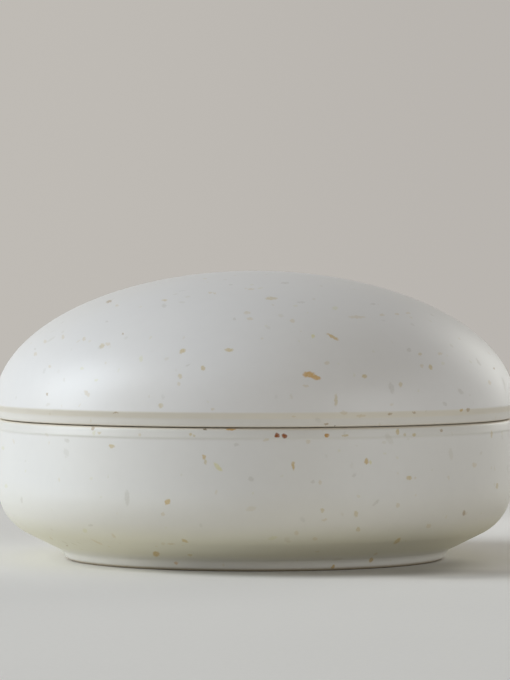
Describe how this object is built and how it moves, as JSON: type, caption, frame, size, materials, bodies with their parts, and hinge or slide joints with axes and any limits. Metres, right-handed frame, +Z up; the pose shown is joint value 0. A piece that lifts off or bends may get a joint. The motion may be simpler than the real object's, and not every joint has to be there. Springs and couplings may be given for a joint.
{
  "type": "shampoo bar holder",
  "caption": "Round pebble-shaped case with a lift-off domed lid, a bowl base on a foot ring and a lift-out slotted drain tray that holds a solid shampoo bar above its drips.",
  "frame": {"origin": "on the axis of the case, in the plane that its foot ring stands on", "axes": "+Z up along the axis of the case; the case is round, so +X and +Y are any two level directions, with a rib of the drain tray along +X"},
  "size_m": [0.1014, 0.1014, 0.0558],
  "materials": {
    "base_bioplastic": "satin off-white bioplastic with ochre and grey wood flecks",
    "tray_bioplastic": "fine matt off-white bioplastic with small wood flecks",
    "lid_bioplastic": "satin off-white bioplastic with ochre and grey wood flecks"
  },
  "bodies": {
    "base": {"base": "base_bioplastic"},
    "drain_tray": {"drain_tray": "tray_bioplastic"},
    "lid": {"lid": "lid_bioplastic"}
  },
  "joints": [
    {"name": "tray_lift", "type": "slide", "parent": "base", "child": "drain_tray", "axis": [0, 0, 1], "range_m": [0, 0.045]},
    {"name": "lid_lift", "type": "slide", "parent": "drain_tray", "child": "lid", "axis": [0, 0, 1], "range_m": [0, 0.06]}
  ]
}
